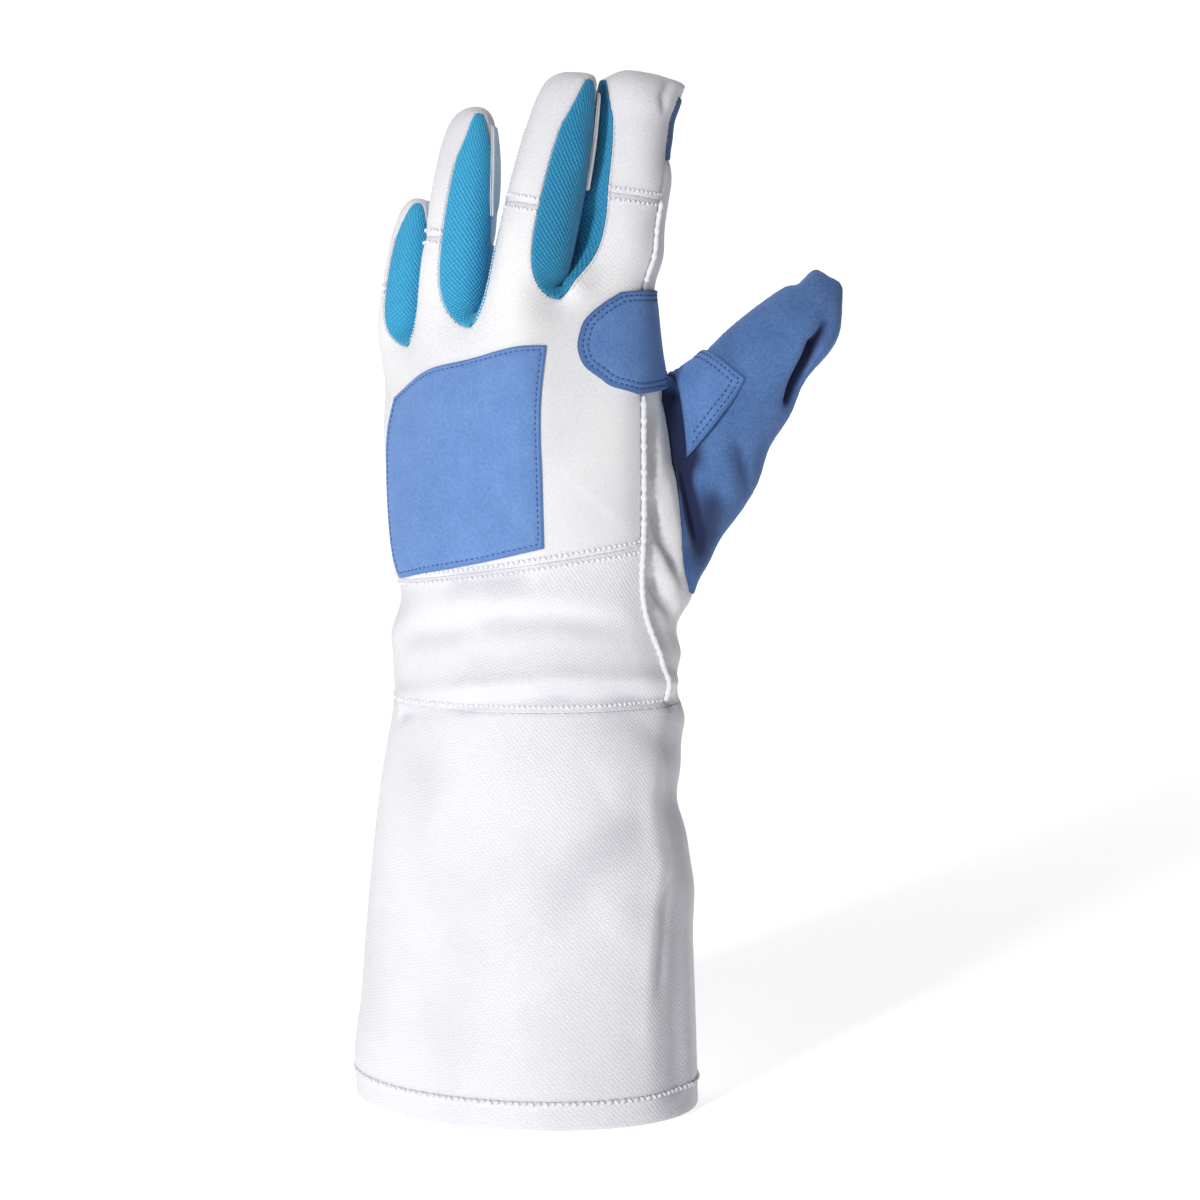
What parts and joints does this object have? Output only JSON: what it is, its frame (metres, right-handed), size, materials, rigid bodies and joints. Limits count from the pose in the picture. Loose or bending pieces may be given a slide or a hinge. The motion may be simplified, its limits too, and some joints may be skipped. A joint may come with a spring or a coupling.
{
  "type": "fencing glove",
  "caption": "Left-hand fencing glove with a long white cuff, a padded back, stretch gussets between the fingers and a blue suede palm, thumb and patches.",
  "frame": {"origin": "middle of the cuff's mouth, where the forearm goes in, at the height of the hem", "axes": "+X from the little finger's side to the thumb's side, +Y from the back of the hand to the palm, +Z from the cuff's mouth to the fingertips"},
  "size_m": [0.1834, 0.101, 0.3848],
  "materials": {
    "white_canvas": "fine woven canvas, matt",
    "white_padded": "padded cloth, matt",
    "blue_suede": "suede nap, matt",
    "cyan_knit": "ribbed stretch knit, matt",
    "white_trim": "folded tape, matt"
  },
  "bodies": {
    "root": {"hem_band": "white_canvas", "cuff": "white_canvas", "wrist_panel": "white_canvas", "side_panel": "white_padded", "back_panel": "white_padded", "palm_panel": "blue_suede", "thumb_back": "blue_suede", "thumb_palm": "blue_suede", "index_tip_panel": "white_padded", "middle_tip_panel": "white_padded", "ring_tip_panel": "white_padded", "little_tip_panel": "white_padded", "gusset_index_middle": "cyan_knit", "gusset_middle_ring": "cyan_knit", "gusset_ring_little": "cyan_knit", "back_patch": "blue_suede", "index_tab": "blue_suede", "thumb_patch": "blue_suede", "middle_binding": "white_trim", "ring_binding": "white_trim", "side_welt": "white_trim", "index_welt": "white_trim"}
  },
  "joints": []
}
